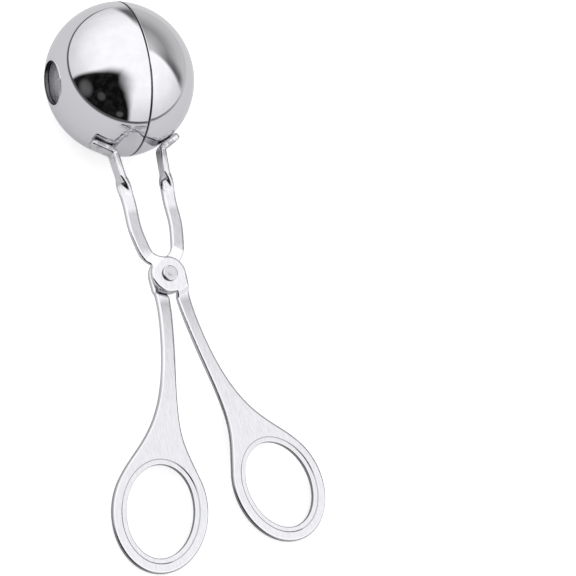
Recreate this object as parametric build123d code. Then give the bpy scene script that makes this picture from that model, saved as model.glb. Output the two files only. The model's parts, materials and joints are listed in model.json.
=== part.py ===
from build123d import *
import math
import os

# Meatball tongs: two welded bowls that close into a ball, on two crossed arms that turn on one rivet.
# The tongs are drawn flat first: origin at the rivet, +X to the right, +Y towards the ball, +Z to the front.
# At the end they are laid down on the ball and the ring ends, with the ground at Z = 0.
# All lengths are in millimetres and all angles in degrees.

# Bowls
bowl_bore = 45.0
bowl_wall = 0.8
bowl_depth = 22.35
rim_gap = 0.3
rim_round = 0.25
vent_diameter = 13.0
vent_round = 0.2

# Layout of the tongs in their own plane
ball_reach = 62.7
ring_out = 18.9
ring_drop = 66.5
ring_tilt = 16.6

# Steel strip of the arms: the neck's width, and the wider stretch from the twist to the tab
strip_width = 4.1
tab_width = 4.7
strip_thickness = 2.1
edge_round = 0.75

# Tab welded under the bowl
tab_angle = 30.0
tab_length = 6.2
tab_corner = 1.1
bend_radius = 2.0
weld_gap = 0.05
weld_spacing = 2.8
weld_point_diameter = 1.8
dimple_diameter = 1.6
dimple_depth = 0.14

# Straight and twisted stretch below the bend
arm_lean = 4.5
straight_length = 7.0
twist_length = 6.0
twist_turn = -90.0
twist_steps = 6
neck_straight = 1.5

# Boss, and the joggles that lift it out of the strip's plane
boss_diameter = 11.0
boss_gap = 0.1
joggle_gap = 0.15
crease_round = 0.5
brow_round = 1.1
neck_heading = 128.0
neck_lead = 1.3
neck_run = 3.6
shank_heading = -66.0
shank_lag = 0.1
shank_front_run = 1.5
shank_back_run = 1.15

# Inner corners of the outline at the boss: angle of each from +X, and its radius
crotch_angle = -80.0
crotch_round = 0.5
notch_angle = 145.0
notch_round = 0.6
fork_angle = 97.0
fork_round = 2.5

# Rivet
rivet_diameter = 3.0
rivet_clearance = 0.05
head_diameter = 4.6
head_height = 0.85
head_round = 0.4
head_gap = 0.05
dish_diameter = 2.2
dish_depth = 0.08

# Handle and finger ring
shank_width = 4.1
finger_length = 25.9
finger_width = 20.1
ring_wall = 4.1
lip_width = 1.6
lip_depth = 0.25
lip_slope = 0.3
hole_round = 0.3
outer_join = 62.0
inner_join = -55.0

# One overrun for every cut
overrun = 5.0

# Neck centre line from the foot of the twist to inside the boss, as shares of the foot's place
neck_shares = [(0.985, 0.61), (0.878, 0.415), (0.60, 0.217), (0.19, 0.105)]
# Shank stations: share of the ring's drop, share of its outward place, and half width as a share of the width
shank_shares = [(0.10, 0.172, 0.51), (0.226, 0.217, 0.49), (0.383, 0.325, 0.52), (0.534, 0.474, 0.695)]
# Points where the shank flares into the ring, as shares of the ring's half length and half width
outer_flare_shares = [(1.267, 0.352), (0.853, 0.632)]
inner_flare_shares = [(1.46, -0.33)]

rim_radius = bowl_bore / 2 + bowl_wall
ball_radius = (rim_radius**2 + bowl_depth**2) / (2 * bowl_depth)
ball_offset = ball_radius - bowl_depth
half_strip = strip_thickness / 2
boss_radius = boss_diameter / 2
boss_rise = half_strip + boss_gap / 2
ring_half_length = finger_length / 2 + ring_wall
ring_half_width = finger_width / 2 + ring_wall
arm_span = ball_reach + ring_drop + ring_half_length
dimple_radius = (dimple_diameter**2 / 4 + dimple_depth**2) / (2 * dimple_depth)
dish_radius = (dish_diameter**2 / 4 + dish_depth**2) / (2 * dish_depth)
cap_slope = math.cos(math.radians(60))
wall_slope = math.cos(math.radians(80))


def heading(angle):
    """Unit step in the tongs' plane at an angle from +X."""
    return Vector(math.cos(math.radians(angle)), math.sin(math.radians(angle)))


def bowl_half(inset):
    """Flat section of a bowl that opens towards +X, filled and cut at its mouth, inset from the outside."""
    disc = Pos(ball_offset, 0) * Circle(ball_radius - inset)
    quarter = Rectangle(bowl_depth, rim_radius, align=(Align.MAX, Align.MIN))
    return disc & quarter


def make_left_bowl():
    """Thin bowl with a rounded rim and a vent hole, its mouth just left of the parting plane."""
    wall = bowl_half(0) - bowl_half(bowl_wall)
    wall = wall - Rectangle(2 * (bowl_depth + overrun), vent_diameter)
    wall = fillet(wall.vertices().group_by(Axis.Y)[-1], rim_round)
    wall = fillet(wall.vertices().group_by(Axis.Y)[0], vent_round)
    return Pos(-rim_gap / 2, ball_reach, 0) * revolve(wall, Axis.X, 360)


def tab_frame():
    """Contact point of the tab on the bowl, the tab's direction away from the bend, and its outward normal."""
    outward = -Vector(math.sin(math.radians(tab_angle)), math.cos(math.radians(tab_angle)))
    contact = Vector(ball_offset - rim_gap / 2, ball_reach) + outward * ball_radius
    along = Vector(outward.Y, -outward.X)
    return contact, along, outward


def arm_path():
    """Centre line of the upper arm: tab end, bend start, bend end, twist head and twist foot."""
    contact, along, outward = tab_frame()
    middle = contact + outward * (weld_gap + half_strip)
    tip = middle + along * (tab_length / 2)
    bend_start = middle - along * (tab_length / 2)
    centre = bend_start + outward * bend_radius
    down = heading(-90 + arm_lean)
    bend_end = centre + Vector(-down.Y, down.X) * bend_radius
    twist_head = bend_end + down * straight_length
    twist_foot = twist_head + down * twist_length
    return tip, bend_start, bend_end, twist_head, twist_foot


def strip_section(point, direction, turn, width):
    """Rounded strip section square to the arm; turn 0 has its wide faces to the front and back."""
    across = Vector(-direction.Y, direction.X)
    plane = Plane(origin=point, x_dir=across, z_dir=direction)
    return plane * Rot(0, 0, turn) * RectangleRounded(width, strip_thickness, edge_round)


def make_twist():
    """Quarter twist between the neck and the wider straight above it."""
    head, foot = arm_path()[3:]
    up = (head - foot).normalized()
    sections = []
    for step in range(twist_steps + 1):
        share = step / twist_steps
        width = strip_width + (tab_width - strip_width) * share
        sections.append(strip_section(foot + (head - foot) * share, up, twist_turn * share, width))
    return loft(sections)


def make_bend():
    """Straight above the twist and the bend that leads to the tab."""
    tip, bend_start, bend_end, head, foot = arm_path()
    up = (bend_end - head).normalized()
    straight = extrude(strip_section(head, up, twist_turn, tab_width), straight_length)
    outward = tab_frame()[2]
    pivot = Axis(bend_start + outward * bend_radius, (0, 0, 1))
    turn = up.get_angle(tip - bend_start)
    return straight + revolve(strip_section(bend_end, up, twist_turn, tab_width), pivot, turn)


def cap_and_wall_edges(body, up):
    """Edges where a face square to 'up' meets a side wall."""
    caps = [face for face in body.faces() if abs(face.normal_at().dot(up)) > cap_slope]
    walls = [face for face in body.faces() if abs(face.normal_at().dot(up)) < wall_slope]
    cap_edges = [edge for face in caps for edge in face.edges()]
    wall_edges = [edge for face in walls for edge in face.edges()]
    return ShapeList([edge for edge in body.edges() if edge in cap_edges and edge in wall_edges])


def make_tab():
    """Flat tab with rounded corners at its free end, weld points towards the bowl and dimples behind them."""
    contact, along, outward = tab_frame()
    tip, bend_start = arm_path()[:2]
    plane = Plane(origin=bend_start, x_dir=along, z_dir=outward)
    outline = Pos(tab_length / 2, 0) * Rectangle(tab_length, tab_width)
    outline = fillet(outline.vertices().group_by(Axis.X)[-1], tab_corner)
    plate = extrude(plane * outline, half_strip, both=True)
    root = Plane(origin=bend_start, z_dir=along)
    rims = cap_and_wall_edges(plate, outward)
    rims = [edge for edge in rims if abs(root.to_local_coords(edge.center()).Z) > edge_round]
    plate = fillet(rims, edge_round)
    for side in (-1, 1):
        spot = contact + along * (side * weld_spacing / 2)
        point_face = Plane(origin=spot, z_dir=outward) * Circle(weld_point_diameter / 2)
        plate = plate + extrude(point_face, weld_gap + half_strip, both=True)
        back = spot + outward * (weld_gap + strip_thickness)
        plate = plate - Pos(*(back + outward * (dimple_radius - dimple_depth))) * Sphere(dimple_radius)
    return plate - Pos(ball_offset - rim_gap / 2, ball_reach, 0) * Sphere(ball_radius)


def ring_point(angle, half_length, half_width):
    """Point on the ring's oval; angle 0 is its upper end and positive angles go outwards."""
    long_axis = heading(90 + ring_tilt)
    side_axis = heading(ring_tilt)
    turn = math.radians(angle)
    step = long_axis * (half_length * math.cos(turn)) + side_axis * (half_width * math.sin(turn))
    return Vector(ring_out, -ring_drop) + step


def ring_direction(angle):
    """Direction of the ring's outer edge at that angle, going outwards."""
    turn = math.radians(angle)
    step = heading(90 + ring_tilt) * (-ring_half_length * math.sin(turn))
    return step + heading(ring_tilt) * (ring_half_width * math.cos(turn))


def flare_points(shares):
    """Outline points beside the ring, from shares of its half length and half width."""
    long_axis = heading(90 + ring_tilt) * ring_half_length
    side_axis = heading(ring_tilt) * ring_half_width
    return [Vector(ring_out, -ring_drop) + long_axis * up + side_axis * out for up, out in shares]


def handle_outline():
    """Plan face of the shank and the whole ring, without the finger hole."""
    outer = [Vector(ring_out * mid + shank_width * half, -ring_drop * drop) for drop, mid, half in shank_shares]
    inner = [Vector(ring_out * mid - shank_width * half, -ring_drop * drop) for drop, mid, half in shank_shares]
    outer_end = ring_point(outer_join, ring_half_length, ring_half_width)
    inner_end = ring_point(inner_join, ring_half_length, ring_half_width)
    top_out = Vector(boss_radius, 0)
    top_in = Vector(inner[0].X, -boss_radius / 2)
    outer_edge = Spline(
        [top_out] + outer + flare_points(outer_flare_shares) + [outer_end],
        tangents=[(0, -1), ring_direction(outer_join)],
    )
    inner_edge = Spline(
        [top_in] + inner + flare_points(inner_flare_shares) + [inner_end],
        tangents=[(0, -1), -ring_direction(inner_join)],
    )
    ends = Line(top_out, (0, 0)), Line((0, 0), top_in)
    shank = make_face([outer_edge, inner_edge, *ends, Line(outer_end, inner_end)])
    return shank + oval(ring_half_length, ring_half_width)


def oval(half_length, half_width):
    """Filled oval on the ring's centre."""
    return Pos(ring_out, -ring_drop) * Rot(0, 0, ring_tilt) * Ellipse(half_width, half_length)


def neck_outline():
    """Plan face of the flat neck between the twist and the boss."""
    head, foot = arm_path()[3:]
    down = (foot - head).normalized()
    end = foot + down * neck_straight
    points = [Vector(foot.X * out, foot.Y * up) for out, up in neck_shares]
    curve = Spline([end] + points, tangents=[down, -points[-1]])
    return trace(Wire([Line(foot, end), curve]), strip_width)


def boss_corner(outline, angle):
    """Corner of the outline on the boss's edge that lies nearest to an angle from +X."""
    place = heading(angle) * boss_radius
    return outline.vertices().sort_by(lambda corner: (corner.center() - place).length)[0]


def plan_outline():
    """Plan face of neck, boss and handle in one piece, with its three inner corners rounded."""
    outline = neck_outline() + Circle(boss_radius) + handle_outline()
    for angle, radius in ((crotch_angle, crotch_round), (notch_angle, notch_round), (fork_angle, fork_round)):
        outline = fillet(boss_corner(outline, angle), radius)
    return outline


def joggle_sheet(angle, front_start, front_run, back_run):
    """Half sheet from behind the rivet outwards at an angle: boss level first, then down to the strip's level."""
    reach = 2 * arm_span
    top, bottom = half_strip, -half_strip
    back_start = boss_radius + joggle_gap
    line = Polyline(
        (-boss_radius / 2, top + boss_rise), (front_start, top + boss_rise), (front_start + front_run, top),
        (reach, top), (reach, bottom), (back_start + back_run, bottom),
        (back_start, bottom + boss_rise), (-boss_radius / 2, bottom + boss_rise), close=True,
    )
    side = make_face(line)
    front_brow, back_crease = Vector(front_start, top + boss_rise), Vector(back_start, bottom + boss_rise)
    front_crease, back_brow = Vector(front_start + front_run, top), Vector(back_start + back_run, bottom)
    for corner, radius in (
        (front_brow, brow_round), (back_brow, brow_round), (front_crease, crease_round), (back_crease, crease_round),
    ):
        side = fillet(side.vertices().sort_by(lambda vertex: (vertex.center() - corner).length)[0], radius)
    along = heading(angle)
    plane = Plane(origin=(0, 0, 0), x_dir=along, z_dir=(along.Y, -along.X, 0))
    return extrude(plane * side, reach, both=True)


def joggled_band():
    """Thick sheet that carries the flat neck, the raised boss and the flat handle."""
    neck_start = boss_radius - neck_lead
    neck = joggle_sheet(neck_heading, neck_start, neck_run, neck_run)
    shank = joggle_sheet(shank_heading, boss_radius + joggle_gap + shank_lag, shank_front_run, shank_back_run)
    return neck + shank


def finger_lip(sign):
    """Lowered band round the finger hole with a sloping step, cut into the front (+1) or back (-1) face."""
    face = sign * half_strip
    foot = lip_width - lip_slope
    inside = Pos(0, 0, face - sign * lip_depth) * oval(finger_length / 2 + foot, finger_width / 2 + foot)
    edge = Pos(0, 0, face) * oval(finger_length / 2 + lip_width, finger_width / 2 + lip_width)
    return loft([inside, edge])


def hole_edges(body):
    """Edges of the finger hole on the front and back faces."""
    centre = Vector(ring_out, -ring_drop)
    ovals = [edge for edge in body.edges() if edge.is_closed and (edge @ 0 - centre).length < ring_half_length]
    return ShapeList(ovals).sort_by(Edge.length)[:2]


def make_plate():
    """Flat part of the arm, from the foot of the twist to the end of the ring."""
    blank = extrude(Pos(0, 0, -strip_thickness) * plan_outline(), 3 * strip_thickness)
    body = blank & joggled_band()
    head, foot = arm_path()[3:]
    cut = Plane(origin=foot, z_dir=head - foot)
    rims = cap_and_wall_edges(body, Vector(0, 0, 1))
    rims = [edge for edge in rims if abs(cut.to_local_coords(edge.center()).Z) > edge_round]
    body = fillet(rims, edge_round)
    body = body - extrude(oval(finger_length / 2, finger_width / 2), overrun, both=True)
    for sign in (-1, 1):
        body = body - finger_lip(sign)
    body = fillet(hole_edges(body), hole_round)
    return body - Cylinder(rivet_diameter / 2 + rivet_clearance, 2 * overrun)


def make_front_arm():
    """Whole front arm: tab at the upper left, ring at the lower right."""
    return make_plate() + make_twist() + make_bend() + make_tab()


def make_rivet():
    """Rivet with a low round head at each end."""
    seat = boss_gap / 2 + strip_thickness + head_gap
    rivet = Cylinder(rivet_diameter / 2, 2 * (seat + head_height))
    for side in (-1, 1):
        rivet = rivet + Pos(0, 0, side * (seat + head_height / 2)) * Cylinder(head_diameter / 2, head_height)
    rims = rivet.edges().filter_by(GeomType.CIRCLE).group_by(Axis.Z)
    rivet = fillet(rims[0] + rims[-1], head_round)
    for side in (-1, 1):
        rivet = rivet - Pos(0, 0, side * (seat + head_height + dish_radius - dish_depth)) * Sphere(dish_radius)
    return rivet


def lay_down():
    """Place of the flat drawing when the ball and both ring ends rest on the ground."""
    ring_end = ring_drop + math.hypot(
        ring_half_length * math.cos(math.radians(ring_tilt)),
        ring_half_width * math.sin(math.radians(ring_tilt)),
    )
    toe = ring_end - edge_round
    toe_height = half_strip - edge_round
    span = math.hypot(ball_reach + toe, toe_height)
    angle = math.asin((rim_radius - edge_round) / span) - math.atan2(toe_height, ball_reach + toe)
    lift = rim_radius - ball_reach * math.sin(angle)
    top = ball_reach * math.cos(angle) + rim_radius
    bottom = -toe * math.cos(angle) - toe_height * math.sin(angle) - edge_round
    return Pos(0, -(top + bottom) / 2, lift) * Rot(math.degrees(angle), 0, 0)


def build():
    """All pieces by name, in the laid-down place."""
    turned_over = Rot(0, 180, 0)
    left_bowl = make_left_bowl()
    front_arm = make_front_arm()
    pieces = {
        "left_bowl": left_bowl,
        "right_bowl": turned_over * left_bowl,
        "front_arm": front_arm,
        "rear_arm": turned_over * front_arm,
        "pivot_rivet": make_rivet(),
    }
    place = lay_down()
    return {name: place * piece for name, piece in pieces.items()}


os.makedirs("parts", exist_ok=True)
for name, piece in build().items():
    export_step(piece, f"parts/{name}.step")
    print(name, len(piece.solids()), "solid", round(piece.volume, 1), "mm3", piece.is_valid)
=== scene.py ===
import bpy
import json
import math
from mathutils import Matrix, Vector


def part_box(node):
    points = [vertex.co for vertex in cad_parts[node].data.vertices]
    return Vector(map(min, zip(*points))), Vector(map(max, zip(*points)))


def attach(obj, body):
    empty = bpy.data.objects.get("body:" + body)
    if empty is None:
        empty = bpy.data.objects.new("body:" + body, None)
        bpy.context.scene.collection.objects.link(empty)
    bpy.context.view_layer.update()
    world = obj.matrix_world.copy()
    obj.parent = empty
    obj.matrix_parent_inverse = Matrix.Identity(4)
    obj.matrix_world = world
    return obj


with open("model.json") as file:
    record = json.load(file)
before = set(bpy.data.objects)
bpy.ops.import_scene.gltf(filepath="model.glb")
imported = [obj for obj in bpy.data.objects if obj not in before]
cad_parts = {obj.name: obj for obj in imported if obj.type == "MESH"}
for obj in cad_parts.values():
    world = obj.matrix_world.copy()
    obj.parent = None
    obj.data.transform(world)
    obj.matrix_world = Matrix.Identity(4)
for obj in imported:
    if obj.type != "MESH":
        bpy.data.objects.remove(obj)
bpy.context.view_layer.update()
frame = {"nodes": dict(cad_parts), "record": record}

# Lengths are in metres and angles in degrees. An azimuth of 0 points along +Y and 90 along +X.
# A noise holds its scale, detail and roughness, a limit or reach where a smooth step starts and ends,
# and a bump its distance and strength. A table holds pairs of a place and the share there.

# Camera: where it aims on the ground, and how it stands to that point
AIM = (0.0462, -0.0052, 0.0)
CAMERA_DISTANCE = 0.4143
CAMERA_AZIMUTH = 56.65
CAMERA_ELEVATION = 53.78
CAMERA_ROLL = 42.71
SENSOR_WIDTH = 36.0
FOCAL_LENGTH = 81.25
CLIP_START = 0.01

# Ball, from the frame: both bowls share its centre
left_low, left_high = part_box("left_bowl")
BALL_CENTRE = Vector((0.0, (left_low.y + left_high.y) / 2, (left_low.z + left_high.z) / 2))
BALL_RADIUS = (left_high.y - left_low.y) / 2

# Plane of the tongs: the hinge's axis is square to it
PIVOT = frame["record"]["behaviour"]["joints"][0]
PIVOT_PLACE = Vector(PIVOT["pos_m"])
PLANE_NORMAL = Vector(PIVOT["axis"])
ACROSS = (1.0, 0.0, 0.0)
ALONG_ARMS = PLANE_NORMAL.cross(Vector(ACROSS))

# Vents: the hole at each bowl's pole. Its turned-in edge is a ring of its own here, with a small bead round
# the mouth, a rounded inner end and its outside within the bowl's wall.
VENT_BORE = 0.00643
VENT_BEAD_ROUND = 0.0003
VENT_BEAD_RISE = 0.00011
VENT_BEAD_START = 2.0
VENT_EDGE_DEPTH = 0.00150
VENT_END_ROUND = 0.0002
VENT_EDGE_OVERLAP = 0.0007
ARC_STEPS = 10
BEAD_FACES = 7
RING_STEPS = 128

# Steel: colour, how much of the brightening at grazing angles is kept, and the noise when it isn't drawn out
STEEL_COLOUR = (0.640, 0.640, 0.666)
GRAZING_TINT = 0.9
UNSTRETCHED = (1.0, 1.0, 1.0)
NOISE_LIMIT = (0.3, 0.7)

# Bowls: smudged mirror outside, spun satin inside
MIRROR_NOISE = (90.0, 4.0, 0.6)
MIRROR_LIMIT = (0.35, 0.75)
MIRROR_ROUGHNESS = (0.015, 0.04)
SPUN_NOISE = (1400.0, 4.0, 0.7)
SPUN_ROUGHNESS = (0.20, 0.32)
SPUN_SHARE = 0.70
SPUN_BUMP = (0.00003, 0.3)

# Rims of the bowls: painted shade on their faces in the seam, and a narrow band of painted shade outside
# along the seam. The table goes from the ball's arm side to its far side, in ball radii.
RIM_SHADE_SHARE = 0.40
SEAM_REACH = (0.00028, 0.00045)
SEAM_SHADE_SHARES = ((-1.0, 0.40), (-0.85, 0.45), (-0.62, 0.95), (-0.2, 0.95), (0.15, 0.40), (0.6, 0.25),
               (1.0, 0.25))

# Turned-in edges of the vents: brightness by the depth below the rim, with painted shade at either end,
# and painted shade on the sides nearest the arms and farthest from them, in bore radii
TURNED_EDGE_STRETCH = (3.0, 0.3, 0.3)
TURNED_EDGE_NOISE = (900.0, 2.0, 0.5)
TURNED_EDGE_ROUGHNESS = (0.25, 0.40)
TURNED_EDGE_DEPTH_SHADE_SHARES = ((0.0, 0.04), (0.0002, 0.06), (0.0004, 0.75), (0.0010, 0.80), (0.00118, 0.05),
                      (0.0015, 0.02))
TURNED_EDGE_SIDE_SHADE_REACH = (0.80, 0.97)
TURNED_EDGE_SIDE_SHADE_SHARE = 0.15

# Arms and rivet: brushed satin flats between bright, smoother edges
BRUSH_STRETCH = (1.0, 0.06, 1.0)
GRAIN_NOISE = (2600.0, 3.0, 0.6)
GRAIN_LIMIT = (0.25, 0.75)
GRAIN_BUMP = (0.00002, 0.15)
SATIN_ROUGHNESS = (0.17, 0.28)
EDGE_ROUGHNESS = 0.10
EDGE_SHARE = 0.665
FLAT_REACH = (0.95, 0.992)

# Tables along the arms go by the distance from the rivet, above it where positive. The flats carry a painted
# reflection, bright in some places along the arm and greyer in others.
FLAT_REFLECTION_SHARES = ((-0.075, 0.60), (-0.040, 0.58), (-0.022, 0.53), (-0.012, 0.45), (-0.0085, 0.38),
               (-0.0065, 0.62), (0.0065, 0.63), (0.0090, 0.46), (0.0197, 0.46), (0.0212, 0.64),
               (0.028, 0.62), (0.042, 0.64))
STREAK_NOISE = (2200.0, 3.0, 0.6)
STREAK_DEPTH = 0.05
# Side walls of the strip below the twist: painted shade, darker towards the handles
WALL_LIMIT = (0.3, 0.6)
WALL_SHADE_SHARES = ((-0.08, 0.22), (-0.045, 0.26), (-0.030, 0.52), (0.0, 0.56))

# Twist, above which the wide faces look sideways: streaky edges there, painted shade near the ball on the
# faces between the two arms, and painted light on the outer faces
TWIST_REACH = (0.021, 0.028)
UPPER_EDGE_SHARES = (0.80, 0.95)
INNER_FACE_SHADE_SHARES = ((0.030, 1.05), (0.0335, 1.0), (0.0365, 0.72), (0.0395, 0.40))
OUTER_FACE_LIGHT_SHARE = 1.08

# Sloping step round each finger hole: drawn softer than it is, with a thin grey line of painted shade
STEP_REACH = (-0.035, -0.025)
STEP_SOFTENING = 0.48
STEP_TILT = (0.80, 0.90)
STEP_SHADE_SHARE = 0.36

# Weld heat on the tabs: it ends this far from the ball's centre and mottles the steel
HEAT_REACH = (0.0265, 0.0290)
HEAT_NOISE = (420.0, 3.0, 0.6)
HEAT_LIMIT = (0.42, 0.62)
HEAT_SHARE = 0.36

# Rivet: satin all over, with painted shade in the crevice round its heads, by the height from the tongs'
# middle plane
RIVET_NOISE = (1800.0, 3.0, 0.6)
RIVET_SHARES = (0.47, 0.53)
CREVICE_HEIGHT = (0.0024, 0.0030)
CREVICE_SHADE_SHARE = 0.05

# Floor: whitened for the camera and a little for what metal mirrors, with a dip under the opened left bowl
FLOOR_RADIUS = 3.0
FLOOR_COLOUR = (0.84, 0.84, 0.845)
FLOOR_LIFT = 0.48
MIRRORED_LIFT = 0.06
DIP_MARGIN = 0.0005
DIP_FLAT = 0.012
DIP_REACH = 0.060
DIP_RINGS = 16

# Sheet on the floor, whose edge the ball mirrors as a thin dark line. Its table goes by azimuth.
SHEET_CENTRE = BALL_CENTRE + Vector((0.017, 0.034, -BALL_CENTRE.z))
SHEET_RADIUS = 0.20
SHEET_EDGE = 0.18
SHEET_EDGE_LIGHTS = ((-180, 0.14), (-10, 0.14), (10, 0.78), (105, 0.78), (130, 0.42), (150, 0.28),
                     (180, 0.14))

# Studio as the polished steel sees it. The tables go by elevation and hold shares of the dome's light.
WHITE = (1.0, 1.0, 1.0, 1.0)
DOME_LIGHT = 1.5
DOME_SHARES = ((-8, 0.66), (0, 0.70), (10, 0.78), (20, 0.87), (30, 0.94), (45, 1.0))
CLOUD_NOISE = (2.5, 4.0, 0.6)
CLOUD_LIMIT = (0.35, 0.65)
CLOUD_SHARES = (1.02, 0.96)

# Grey backdrop: an arch whose tone goes by elevation, with a darker band inside its outline
BACKDROP_AZIMUTH = 56.5
BACKDROP_HALF_WIDTH = 45.0
BACKDROP_FOOT = -5.0
BACKDROP_HEIGHT = 67.0
BACKDROP_POWER = 2.0
BACKDROP_SOFTNESS = 0.14
BACKDROP_SHARES = ((-10, 0.51), (0, 0.51), (10, 0.46), (20, 0.36), (30, 0.27), (40, 0.39), (50, 0.51),
                   (65, 0.75))
BAND_REACH = (0.35, 0.80)
BAND_DEPTH = 0.78
BAND_SHARES = ((-6, 0.1), (6, 0.95), (20, 0.9), (35, 0.35), (50, 0.0))

# Dark opening: an arch with a soft outline that fades out towards its top. Its far side, where 'across' is
# negative, is softer still and shifted outwards.
OPENING_AZIMUTH = -127.5
OPENING_HALF_WIDTH = 46.0
OPENING_FOOT = -6.0
OPENING_HEIGHT = 76.0
OPENING_POWER = 1.4
OPENING_SOFT_SHARES = ((0, 0.08), (30, 0.12), (45, 0.22), (55, 0.42), (70, 0.50))
OPENING_FAR_SIDE = (-0.30, 0.0)
OPENING_FAR_SOFT_SHARES = ((0, 0.10), (10, 0.12), (22, 0.22), (34, 0.34), (45, 0.65), (56, 0.85))
OPENING_FAR_SHIFT_SHARES = ((0, 0.02), (10, 0.04), (22, 0.09), (34, 0.13), (45, 0.16), (56, 0.12))
OPENING_FADE = (53.0, 71.0)
OPENING_FADE_SLOPE = 0.30
OPENING_NOISE = (6.0, 2.0, 0.5)
OPENING_LIMIT = (0.4, 0.65)
OPENING_SHARES = (0.004, 0.012)

# Dim lamps in the opening: azimuth, elevation, radius and brightness of each
LAMPS = ((-103, 4, 14, 0.085), (-127, 13, 8, 0.05), (-160, 1, 6, 0.07))
LAMP_POWER = 2.0


def feed(tree, socket, value):
    """Links another node's output to a socket, or sets the socket's own value."""
    if isinstance(value, bpy.types.NodeSocket):
        tree.links.new(value, socket)
    else:
        socket.default_value = value


def calculate(tree, operation, first, second=0.0):
    """Adds a math node and returns its result; each input is a number or another node's output."""
    node = tree.nodes.new("ShaderNodeMath")
    node.operation = operation
    feed(tree, node.inputs[0], first)
    feed(tree, node.inputs[1], second)
    return node.outputs[0]


def ramp(tree, value, start, end, low=0.0, high=1.0):
    """Smooth step of a value from 'low' at start to 'high' at end."""
    node = tree.nodes.new("ShaderNodeMapRange")
    node.interpolation_type = "SMOOTHSTEP"
    tree.links.new(value, node.inputs["Value"])
    node.inputs["From Min"].default_value = start
    node.inputs["From Max"].default_value = end
    node.inputs["To Min"].default_value = low
    node.inputs["To Max"].default_value = high
    return node.outputs["Result"]


def table_share(tree, value, table):
    """Share of a value, straight between the places of a table."""
    first, last = table[0][0], table[-1][0]
    place = calculate(tree, "DIVIDE", calculate(tree, "SUBTRACT", value, first), last - first)
    node = tree.nodes.new("ShaderNodeValToRGB")
    stops = node.color_ramp.elements
    stops[0].color = (table[0][1],) * 3 + (1.0,)
    stops[1].color = (table[-1][1],) * 3 + (1.0,)
    for middle, share in table[1:-1]:
        stops.new((middle - first) / (last - first)).color = (share,) * 3 + (1.0,)
    tree.links.new(place, node.inputs["Fac"])
    return node.outputs["Color"]


def mixed(tree, factor, first, second):
    """Number between two numbers, each a value or another node's output."""
    step = calculate(tree, "MULTIPLY", calculate(tree, "SUBTRACT", second, first), factor)
    return calculate(tree, "ADD", step, first)


def vector_math(tree, operation, first, second):
    """Adds a vector node of two inputs, each three numbers or another node's output."""
    node = tree.nodes.new("ShaderNodeVectorMath")
    node.operation = operation
    feed(tree, node.inputs[0], first)
    feed(tree, node.inputs[1], second)
    return node.outputs["Value" if operation in ("DOT_PRODUCT", "DISTANCE") else "Vector"]


def scaled_vector(tree, vector, scale):
    """Three numbers times another node's output."""
    node = tree.nodes.new("ShaderNodeVectorMath")
    node.operation = "SCALE"
    node.inputs[0].default_value = vector
    tree.links.new(scale, node.inputs["Scale"])
    return node.outputs["Vector"]


def parts_of(tree, vector):
    """Outputs with the X, Y and Z of a vector."""
    node = tree.nodes.new("ShaderNodeSeparateXYZ")
    tree.links.new(vector, node.inputs[0])
    return node.outputs


def mixed_colour(tree, factor, first, second):
    """Colour between two other nodes' outputs."""
    node = tree.nodes.new("ShaderNodeMix")
    node.data_type = "RGBA"
    for socket, value in ((node.inputs[0], factor), (node.inputs[6], first), (node.inputs[7], second)):
        tree.links.new(value, socket)
    return node.outputs[2]


def mixed_shader(tree, factor, first, second):
    """Output of the shader between two others."""
    node = tree.nodes.new("ShaderNodeMixShader")
    for socket, value in zip(node.inputs, (factor, first, second)):
        tree.links.new(value, socket)
    return node.outputs[0]


def noise(tree, coordinates, stretch, scale, detail, roughness):
    """Noise drawn out along an axis: 'stretch' multiplies the coordinates."""
    mapping = tree.nodes.new("ShaderNodeMapping")
    mapping.inputs["Scale"].default_value = stretch
    tree.links.new(coordinates, mapping.inputs["Vector"])
    node = tree.nodes.new("ShaderNodeTexNoise")
    node.inputs["Scale"].default_value = scale
    node.inputs["Detail"].default_value = detail
    node.inputs["Roughness"].default_value = roughness
    tree.links.new(mapping.outputs["Vector"], node.inputs["Vector"])
    return node.outputs["Fac"]


def azimuth_of(tree, parts):
    """Azimuth of a vector from its parts."""
    return calculate(tree, "DEGREES", calculate(tree, "ARCTAN2", parts[0], parts[1]))


def object_coordinates(tree):
    """Object coordinates, which are the frame's own metres, and the normal in the same axes."""
    node = tree.nodes.new("ShaderNodeTexCoord")
    return node.outputs["Object"], node.outputs["Normal"]


def new_material(name):
    """Node material with a metallic principled shader; returns material, tree and shader."""
    material = bpy.data.materials.new(name)
    material.use_nodes = True
    tree = material.node_tree
    shader = tree.nodes["Principled BSDF"]
    shader.inputs["Metallic"].default_value = 1.0
    shader.inputs["Specular Tint"].default_value = (GRAZING_TINT, GRAZING_TINT, GRAZING_TINT, 1.0)
    return material, tree, shader


def set_tone(tree, shader, share):
    """Gives a shader the steel's tint at a brightness."""
    tint = [part / STEEL_COLOUR[0] for part in STEEL_COLOUR]
    tree.links.new(scaled_vector(tree, tint, share), shader.inputs["Base Color"])


def add_bump(tree, shader, height, distance, strength, normal=None):
    """Bump from a height output, on the shader's normal or on another one."""
    bump = tree.nodes.new("ShaderNodeBump")
    bump.inputs["Distance"].default_value = distance
    bump.inputs["Strength"].default_value = strength
    tree.links.new(height, bump.inputs["Height"])
    if normal:
        tree.links.new(normal, bump.inputs["Normal"])
    tree.links.new(bump.outputs["Normal"], shader.inputs["Normal"])


def spun_noise(tree, parts):
    """Noise in rings round the X axis, from a place's distances to the ball's centre."""
    squares = calculate(tree, "ADD", calculate(tree, "POWER", calculate(tree, "ABSOLUTE", parts[1]), 2.0),
                        calculate(tree, "POWER", calculate(tree, "ABSOLUTE", parts[2]), 2.0))
    ring = tree.nodes.new("ShaderNodeCombineXYZ")
    tree.links.new(calculate(tree, "SQRT", squares), ring.inputs[0])
    return noise(tree, ring.outputs[0], UNSTRETCHED, *SPUN_NOISE)


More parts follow.
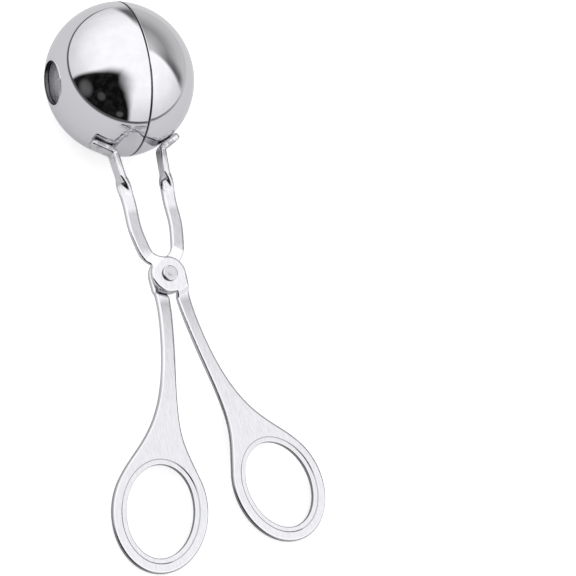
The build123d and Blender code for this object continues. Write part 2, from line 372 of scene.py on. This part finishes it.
def seam_shade_share(tree, parts, outward):
    """Painted shade near the seam; 'parts' are distances to the ball's centre, 'outward' is under 0 inside.
    """
    near = ramp(tree, calculate(tree, "ABSOLUTE", parts[0]), *SEAM_REACH, 1.0, 0.0)
    near = calculate(tree, "MULTIPLY", near, calculate(tree, "GREATER_THAN", outward, 0.0))
    outside = calculate(tree, "GREATER_THAN", outward, BALL_RADIUS / 2)
    band = table_share(tree, calculate(tree, "DIVIDE", parts[1], BALL_RADIUS), SEAM_SHADE_SHARES)
    return mixed(tree, near, 1.0, mixed(tree, outside, RIM_SHADE_SHARE, band))


def polished_steel():
    """Mirror-polished outside and spun satin inside of the bowls."""
    material, tree, shader = new_material("polished_steel")
    place, normal = object_coordinates(tree)
    from_centre = vector_math(tree, "SUBTRACT", place, BALL_CENTRE)
    parts = parts_of(tree, from_centre)
    outward = vector_math(tree, "DOT_PRODUCT", from_centre, normal)
    inside = calculate(tree, "LESS_THAN", outward, 0.0)
    mirror = ramp(tree, noise(tree, place, UNSTRETCHED, *MIRROR_NOISE), *MIRROR_LIMIT, *MIRROR_ROUGHNESS)
    spun = spun_noise(tree, parts)
    satin = ramp(tree, spun, *NOISE_LIMIT, *SPUN_ROUGHNESS)
    tree.links.new(mixed(tree, inside, mirror, satin), shader.inputs["Roughness"])
    # Painted shade along the seam, in both the colour and the reflection
    rim = seam_shade_share(tree, parts, outward)
    share = mixed(tree, inside, STEEL_COLOUR[0], SPUN_SHARE)
    set_tone(tree, shader, calculate(tree, "MULTIPLY", share, rim))
    tree.links.new(calculate(tree, "MULTIPLY", rim, GRAZING_TINT), shader.inputs["Specular Tint"])
    add_bump(tree, shader, calculate(tree, "MULTIPLY", spun, inside), *SPUN_BUMP)
    return material


def facing(tree, normal, direction):
    """1 where a face looks along a direction or against it, 0 where it is side-on to it."""
    return calculate(tree, "ABSOLUTE", vector_math(tree, "DOT_PRODUCT", normal, direction))


def flat_share(tree, normal, upper):
    """1 on the strip's wide flat faces and 0 on its rounded edges; above the twist they look sideways."""
    sideways = calculate(tree, "MULTIPLY", facing(tree, normal, ACROSS), upper)
    widest = calculate(tree, "MAXIMUM", facing(tree, normal, PLANE_NORMAL), sideways)
    return ramp(tree, widest, *FLAT_REACH)


def wall_share(tree, normal, upper):
    """1 on the strip's side walls below the twist, 0 elsewhere."""
    wall = ramp(tree, facing(tree, normal, PLANE_NORMAL), *WALL_LIMIT, 1.0, 0.0)
    return calculate(tree, "MULTIPLY", wall, calculate(tree, "SUBTRACT", 1.0, upper))


def step_share(tree, normal, along):
    """1 on the sloping steps round the finger holes, 0 elsewhere."""
    tilted = ramp(tree, facing(tree, normal, PLANE_NORMAL), *STEP_TILT, 1.0, 0.0)
    return calculate(tree, "MULTIPLY", tilted, ramp(tree, along, *STEP_REACH, 1.0, 0.0))


def softened_normal(tree, along):
    """Normal that makes the sloping steps round the finger holes shallower."""
    normal = tree.nodes.new("ShaderNodeNewGeometry").outputs["Normal"]
    change = calculate(tree, "MULTIPLY", vector_math(tree, "DOT_PRODUCT", normal, PLANE_NORMAL),
                       ramp(tree, along, *STEP_REACH, STEP_SOFTENING, 0.0))
    raised = vector_math(tree, "ADD", normal, scaled_vector(tree, PLANE_NORMAL, change))
    return vector_math(tree, "NORMALIZE", raised, (0.0, 0.0, 0.0))


def reflection_and_streaks_share(tree, place, along):
    """Brightness of the flats: a painted reflection in a table along the arm, with streaks of the brushing
    over it.
    """
    streaks = noise(tree, place, BRUSH_STRETCH, *STREAK_NOISE)
    depth = ramp(tree, streaks, *NOISE_LIMIT, 1 - STREAK_DEPTH, 1 + STREAK_DEPTH)
    return calculate(tree, "MULTIPLY", table_share(tree, along, FLAT_REFLECTION_SHARES), depth)


def upper_share(tree, place, normal, along, flat, grain):
    """Above the twist: streaky edges, painted shade near the ball on faces between the arms, painted light
    outside.
    """
    outward = parts_of(tree, vector_math(tree, "MULTIPLY", place, normal))[0]
    inner = calculate(tree, "LESS_THAN", outward, 0.0)
    face = mixed(tree, inner, OUTER_FACE_LIGHT_SHARE, table_share(tree, along, INNER_FACE_SHADE_SHARES))
    edge = ramp(tree, grain, *NOISE_LIMIT, *UPPER_EDGE_SHARES)
    return mixed(tree, flat, edge, face)


def weld_heat(tree, place):
    """1 on mottled patches of the tabs near the ball, 0 elsewhere."""
    reach = ramp(tree, vector_math(tree, "DISTANCE", place, BALL_CENTRE), *HEAT_REACH, 1.0, 0.0)
    patches = ramp(tree, noise(tree, place, UNSTRETCHED, *HEAT_NOISE), *HEAT_LIMIT)
    return calculate(tree, "MULTIPLY", reach, patches)


def finish_steel(tree, shader, share, flat, grain, normal=None):
    """Sets colour, roughness and bump from a brightness, the share of flat face and the brushing's grain."""
    set_tone(tree, shader, share)
    satin = ramp(tree, grain, *GRAIN_LIMIT, *SATIN_ROUGHNESS)
    tree.links.new(mixed(tree, flat, EDGE_ROUGHNESS, satin), shader.inputs["Roughness"])
    add_bump(tree, shader, calculate(tree, "MULTIPLY", grain, flat), *GRAIN_BUMP, normal)


def arm_steel():
    """Satin strip steel, brushed along the arms, with bright tumbled edges, weld heat on the tabs, and
    painted light and shade by place.
    """
    material, tree, shader = new_material("arm_steel")
    place, normal = object_coordinates(tree)
    from_pivot = vector_math(tree, "SUBTRACT", place, PIVOT_PLACE)
    along = vector_math(tree, "DOT_PRODUCT", from_pivot, ALONG_ARMS)
    upper = ramp(tree, along, *TWIST_REACH)
    flat = flat_share(tree, normal, upper)
    # Flats: painted reflection along the arm, with the brushing's streaks over it
    share = mixed(tree, flat, EDGE_SHARE, reflection_and_streaks_share(tree, place, along))
    # Thin line of painted shade on the steps round the finger holes
    share = mixed(tree, step_share(tree, normal, along), share, STEP_SHADE_SHARE)
    # Painted shade on the side walls below the twist
    share = mixed(tree, wall_share(tree, normal, upper), share, table_share(tree, along, WALL_SHADE_SHARES))
    grain = noise(tree, place, BRUSH_STRETCH, *GRAIN_NOISE)
    # Above the twist: painted shade on the faces between the arms and painted light on the outer faces
    change = mixed(tree, upper, 1.0, upper_share(tree, place, normal, along, flat, grain))
    share = mixed(tree, weld_heat(tree, place), calculate(tree, "MULTIPLY", share, change), HEAT_SHARE)
    finish_steel(tree, shader, share, flat, grain, softened_normal(tree, along))
    return material


def rivet_steel():
    """Satin rivet steel, with painted shade in the crevice under its heads."""
    material, tree, shader = new_material("rivet_steel")
    place, normal = object_coordinates(tree)
    flat = flat_share(tree, normal, 0.0)
    height = facing(tree, vector_math(tree, "SUBTRACT", place, PIVOT_PLACE), PLANE_NORMAL)
    grain = noise(tree, place, UNSTRETCHED, *RIVET_NOISE)
    share = mixed(tree, flat, EDGE_SHARE, ramp(tree, grain, *NOISE_LIMIT, *RIVET_SHARES))
    # Painted shade in the crevice under the heads
    share = mixed(tree, ramp(tree, height, *CREVICE_HEIGHT, 1.0, 0.0), share, CREVICE_SHADE_SHARE)
    finish_steel(tree, shader, share, flat, grain)
    return material


def vent_rim(bowl):
    """How far the rim of a bowl's vent stands from the tongs' middle."""
    return max(abs(corner.x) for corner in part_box(bowl))


def turned_edge_steel():
    """Satin steel of the vents' turned-in edges, with painted shade at the mouth, at the inner end and on
    two sides.
    """
    material, tree, shader = new_material("turned_edge_steel")
    place = object_coordinates(tree)[0]
    smudge = noise(tree, place, TURNED_EDGE_STRETCH, *TURNED_EDGE_NOISE)
    tree.links.new(ramp(tree, smudge, *NOISE_LIMIT, *TURNED_EDGE_ROUGHNESS), shader.inputs["Roughness"])
    parts = parts_of(tree, place)
    depth = calculate(tree, "SUBTRACT", vent_rim("left_bowl"), calculate(tree, "ABSOLUTE", parts[0]))
    along = calculate(tree, "ABSOLUTE", calculate(tree, "SUBTRACT", parts[1], BALL_CENTRE.y))
    along = calculate(tree, "DIVIDE", along, VENT_BORE)
    # Painted shade on the sides nearest the arms and farthest from them
    side_shade = ramp(tree, along, *TURNED_EDGE_SIDE_SHADE_REACH, 1.0, TURNED_EDGE_SIDE_SHADE_SHARE)
    set_tone(tree, shader, calculate(tree, "MULTIPLY", table_share(tree, depth, TURNED_EDGE_DEPTH_SHADE_SHARES), side_shade))
    return material


def add_object(name, places, faces, materials):
    """Adds a smooth-shaded mesh to the scene."""
    mesh = bpy.data.meshes.new(name)
    mesh.from_pydata(places, [], faces)
    mesh.shade_smooth()
    for material in materials:
        mesh.materials.append(material)
    piece = bpy.data.objects.new(name, mesh)
    bpy.context.scene.collection.objects.link(piece)
    return piece


def arc_points(centre, radius, start, end):
    """Points along an arc in the plane of radius and height."""
    angles = [math.radians(start + (end - start) * step / ARC_STEPS) for step in range(ARC_STEPS + 1)]
    return [(centre[0] + radius * math.cos(angle), centre[1] + radius * math.sin(angle)) for angle in angles]


def turned_edge_profile():
    """Section of a vent's turned-in edge: radius from the vent's axis, and height above the hole's rim."""
    bead = (VENT_BORE + VENT_BEAD_ROUND, VENT_BEAD_RISE - VENT_BEAD_ROUND)
    end = (VENT_BORE + VENT_END_ROUND, VENT_END_ROUND - VENT_EDGE_DEPTH)
    points = arc_points(bead, VENT_BEAD_ROUND, VENT_BEAD_START, 180.0)
    points += arc_points(end, VENT_END_ROUND, 180.0, 360.0)
    points.append((VENT_BORE + 2 * VENT_END_ROUND, -VENT_EDGE_OVERLAP))
    return points


def turned_edge_places(profile, rim, side):
    """The section's points, turned round the X axis through the ball's centre."""
    places = []
    for step in range(RING_STEPS):
        turn = math.tau * step / RING_STEPS
        for radius, height in profile:
            places.append((side * (rim + height), BALL_CENTRE.y + radius * math.cos(turn),
                           BALL_CENTRE.z + radius * math.sin(turn)))
    return places


def turned_edge_faces(count, side):
    """Faces between the turned sections, each of 'count' points, facing outwards on either side."""
    faces = []
    for step in range(RING_STEPS):
        here = step * count
        there = (step + 1) % RING_STEPS * count
        for point in range(count):
            after = (point + 1) % count
            face = (here + point, there + point, there + after, here + after)
            faces.append(face if side < 0 else face[::-1])
    return faces


def make_turned_edge(bowl, body, side, materials):
    """Turned-in edge of a bowl's vent: the bead takes the first material and the rest the second."""
    profile = turned_edge_profile()
    count = len(profile)
    places = turned_edge_places(profile, vent_rim(bowl), side)
    ring = add_object(bowl + "_vent_edge", places, turned_edge_faces(count, side), materials)
    for face in ring.data.polygons:
        face.material_index = 0 if face.index % count < BEAD_FACES else 1
    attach(ring, body)


def floor_light(tree, ray):
    """Diffuse floor, lifted to white for the camera and a little for what metal mirrors."""
    diffuse = tree.nodes.new("ShaderNodeBsdfDiffuse")
    diffuse.inputs["Color"].default_value = (*FLOOR_COLOUR, 1.0)
    seen = calculate(tree, "MAXIMUM", ray["Is Camera Ray"], ray["Is Transmission Ray"])
    lift = calculate(tree, "ADD", calculate(tree, "MULTIPLY", seen, FLOOR_LIFT),
                     calculate(tree, "MULTIPLY", ray["Is Glossy Ray"], MIRRORED_LIFT))
    glow = tree.nodes.new("ShaderNodeEmission")
    tree.links.new(lift, glow.inputs["Strength"])
    lit = tree.nodes.new("ShaderNodeAddShader")
    tree.links.new(diffuse.outputs[0], lit.inputs[0])
    tree.links.new(glow.outputs[0], lit.inputs[1])
    return lit.outputs[0]


def sheet_edge_light(tree, place):
    """Glow of the sheet's edge by azimuth round the sheet."""
    edge = tree.nodes.new("ShaderNodeEmission")
    azimuth = azimuth_of(tree, parts_of(tree, vector_math(tree, "SUBTRACT", place, SHEET_CENTRE)))
    tree.links.new(table_share(tree, azimuth, SHEET_EDGE_LIGHTS), edge.inputs["Strength"])
    return edge.outputs[0]


def floor_material():
    """Pale floor; metal sees it up to the sheet's edge, then the edge, then the studio beyond."""
    material = bpy.data.materials.new("floor")
    material.use_nodes = True
    tree = material.node_tree
    tree.nodes.clear()
    ray = tree.nodes.new("ShaderNodeLightPath").outputs
    place = object_coordinates(tree)[0]
    distance = vector_math(tree, "DISTANCE", place, SHEET_CENTRE)
    at_edge = ramp(tree, distance, SHEET_RADIUS, SHEET_RADIUS + SHEET_EDGE / 3)
    past_edge = ramp(tree, distance, SHEET_RADIUS + SHEET_EDGE * 2 / 3, SHEET_RADIUS + SHEET_EDGE)
    beyond = tree.nodes.new("ShaderNodeBsdfTransparent").outputs[0]
    surface = floor_light(tree, ray)
    for share, shader in ((at_edge, sheet_edge_light(tree, place)), (past_edge, beyond)):
        mirrored = calculate(tree, "MULTIPLY", share, ray["Is Glossy Ray"])
        surface = mixed_shader(tree, mirrored, surface, shader)
    output = tree.nodes.new("ShaderNodeOutputMaterial")
    tree.links.new(surface, output.inputs["Surface"])
    return material


def opened_ball():
    """Centre of the left bowl's ball when the tongs are fully open."""
    turn = Matrix.Rotation(math.radians(PIVOT["range_deg"][1]), 3, PLANE_NORMAL)
    return PIVOT_PLACE + turn @ (BALL_CENTRE - PIVOT_PLACE)


def floor_rings(low):
    """Radius and height of each ring of the floor, from the bottom of its dip to its far edge."""
    rings = []
    for step in range(DIP_RINGS + 1):
        share = step / DIP_RINGS
        smooth = share * share * (3 - 2 * share)
        rings.append((DIP_FLAT + (DIP_REACH - DIP_FLAT) * share, low * (1 - smooth)))
    return rings + [(FLOOR_RADIUS, 0.0)]


def make_floor():
    """Round floor far wider than any view, with a shallow dip where the left bowl swings low on opening."""
    bowl = opened_ball()
    rings = floor_rings(bowl.z - BALL_RADIUS - DIP_MARGIN)
    places = []
    for radius, height in rings:
        for step in range(RING_STEPS):
            turn = math.tau * step / RING_STEPS
            places.append((bowl.x + radius * math.cos(turn), bowl.y + radius * math.sin(turn), height))
    faces = [tuple(range(RING_STEPS))]
    for inner in range(0, len(rings) * RING_STEPS - RING_STEPS, RING_STEPS):
        outer = inner + RING_STEPS
        for step in range(RING_STEPS):
            after = (step + 1) % RING_STEPS
            faces.append((inner + step, outer + step, outer + after, inner + after))
    floor = add_object("floor", places, faces, [floor_material()])


def arch_measure(tree, across, up, power):
    """0 in the middle of an arch's foot and 1 on its outline; both distances are shares of its half size."""
    return calculate(tree, "ADD", calculate(tree, "POWER", calculate(tree, "ABSOLUTE", across), power),
                     calculate(tree, "POWER", calculate(tree, "ABSOLUTE", up), power))


def scaled(tree, value, start, size):
    """Distance of a value from a start, as a share of a size."""
    return calculate(tree, "DIVIDE", calculate(tree, "SUBTRACT", value, start), size)


def backdrop_light(tree, azimuth, elevation, sky):
    """Sky with the grey backdrop in front of it."""
    across = scaled(tree, azimuth, BACKDROP_AZIMUTH, BACKDROP_HALF_WIDTH)
    up = scaled(tree, elevation, BACKDROP_FOOT, BACKDROP_HEIGHT)
    outline = arch_measure(tree, across, up, BACKDROP_POWER)
    mask = ramp(tree, outline, 1 - BACKDROP_SOFTNESS, 1 + BACKDROP_SOFTNESS, 1.0, 0.0)
    band = calculate(tree, "MULTIPLY", ramp(tree, outline, *BAND_REACH, 0.0, BAND_DEPTH),
                     table_share(tree, elevation, BAND_SHARES))
    tone = table_share(tree, elevation, BACKDROP_SHARES)
    tone = calculate(tree, "MULTIPLY", tone, calculate(tree, "SUBTRACT", 1.0, band))
    return mixed_colour(tree, mask, sky, tone)


def opening_mask(tree, azimuth, elevation):
    """1 in the dark opening and 0 outside its soft outline."""
    across = scaled(tree, azimuth, OPENING_AZIMUTH, OPENING_HALF_WIDTH)
    up = scaled(tree, elevation, OPENING_FOOT, OPENING_HEIGHT)
    outline = arch_measure(tree, across, up, OPENING_POWER)
    far = ramp(tree, across, *OPENING_FAR_SIDE, 1.0, 0.0)
    soft = mixed(tree, far, table_share(tree, elevation, OPENING_SOFT_SHARES),
                 table_share(tree, elevation, OPENING_FAR_SOFT_SHARES))
    shift = table_share(tree, elevation, OPENING_FAR_SHIFT_SHARES)
    edge = mixed(tree, far, 1.0, calculate(tree, "ADD", shift, 1.0))
    past = calculate(tree, "DIVIDE", calculate(tree, "SUBTRACT", outline, edge), soft)
    aside = calculate(tree, "MAXIMUM", across)
    aside = calculate(tree, "MULTIPLY", aside, OPENING_HALF_WIDTH * OPENING_FADE_SLOPE)
    fade = ramp(tree, calculate(tree, "ADD", elevation, aside), *OPENING_FADE, 1.0, 0.0)
    return calculate(tree, "MULTIPLY", ramp(tree, past, -1.0, 1.0, 1.0, 0.0), fade)


def opening_tone(tree, azimuth, elevation, direction):
    """Brightness inside the opening, where a few dim lamps shine."""
    haze = noise(tree, direction, UNSTRETCHED, *OPENING_NOISE)
    tone = ramp(tree, haze, *OPENING_LIMIT, *OPENING_SHARES)
    for lamp_azimuth, lamp_elevation, radius, share in LAMPS:
        across = scaled(tree, azimuth, lamp_azimuth, radius)
        up = scaled(tree, elevation, lamp_elevation, radius)
        spot = ramp(tree, arch_measure(tree, across, up, LAMP_POWER), 0.0, 1.0, share, 0.0)
        tone = calculate(tree, "ADD", tone, spot)
    return tone


def mirrored_sky(tree):
    """Studio that the steel mirrors: a slightly cloudy dome, a grey backdrop and a dark opening."""
    direction = tree.nodes.new("ShaderNodeTexCoord").outputs["Generated"]
    parts = parts_of(tree, direction)
    azimuth = azimuth_of(tree, parts)
    elevation = calculate(tree, "DEGREES", calculate(tree, "ARCSINE", parts[2]))
    haze = noise(tree, direction, UNSTRETCHED, *CLOUD_NOISE)
    clouds = ramp(tree, haze, *CLOUD_LIMIT, *CLOUD_SHARES)
    sky = calculate(tree, "MULTIPLY", table_share(tree, elevation, DOME_SHARES), clouds)
    sky = backdrop_light(tree, azimuth, elevation, sky)
    tone = opening_tone(tree, azimuth, elevation, direction)
    return mixed_colour(tree, opening_mask(tree, azimuth, elevation), sky, tone)


def background(tree, colour, strength):
    """Output of a background shader, with a colour of its own or from another node."""
    node = tree.nodes.new("ShaderNodeBackground")
    feed(tree, node.inputs["Color"], colour)
    node.inputs["Strength"].default_value = strength
    return node.outputs[0]


def make_world():
    """White studio dome; metal also sees the dark opening behind the camera and a grey backdrop."""
    world = bpy.data.worlds.new("studio")
    bpy.context.scene.world = world
    world.use_nodes = True
    tree = world.node_tree
    tree.nodes.clear()
    glossy = tree.nodes.new("ShaderNodeLightPath").outputs["Is Glossy Ray"]
    plain = background(tree, WHITE, 1.0)
    mirrored = background(tree, mirrored_sky(tree), DOME_LIGHT)
    output = tree.nodes.new("ShaderNodeOutputWorld")
    tree.links.new(mixed_shader(tree, glossy, plain, mirrored), output.inputs["Surface"])


def make_camera():
    """Camera at the photograph's viewing angle."""
    azimuth = math.radians(CAMERA_AZIMUTH)
    elevation = math.radians(CAMERA_ELEVATION)
    roll = math.radians(CAMERA_ROLL)
    back = Vector((-math.sin(azimuth) * math.cos(elevation), -math.cos(azimuth) * math.cos(elevation),
                   math.sin(elevation)))
    level = Vector((math.cos(azimuth), -math.sin(azimuth), 0.0))
    upright = back.cross(level)
    right = level * math.cos(roll) + upright * math.sin(roll)
    up = back.cross(right)
    data = bpy.data.cameras.new("camera")
    data.sensor_width = SENSOR_WIDTH
    data.lens = FOCAL_LENGTH
    data.clip_start = CLIP_START
    camera = bpy.data.objects.new("camera", data)
    turn = Matrix((right, up, back)).transposed().to_4x4()
    camera.matrix_world = Matrix.Translation(Vector(AIM) + back * CAMERA_DISTANCE) @ turn
    bpy.context.scene.collection.objects.link(camera)
    bpy.context.scene.camera = camera


def dress(node, material):
    """Gives a carried-over piece its material."""
    slots = frame["nodes"][node].data.materials
    slots.clear()
    slots.append(material)


bpy.context.scene.view_settings.view_transform = "Standard"
make_camera()
make_world()
make_floor()
bowl_steel = polished_steel()
strip_steel = arm_steel()
dress("left_bowl", bowl_steel)
dress("right_bowl", bowl_steel)
dress("front_arm", strip_steel)
dress("rear_arm", strip_steel)
dress("pivot_rivet", rivet_steel())
edge_steels = (bowl_steel, turned_edge_steel())
make_turned_edge("left_bowl", "front_half", -1, edge_steels)
make_turned_edge("right_bowl", "rear_half", 1, edge_steels)
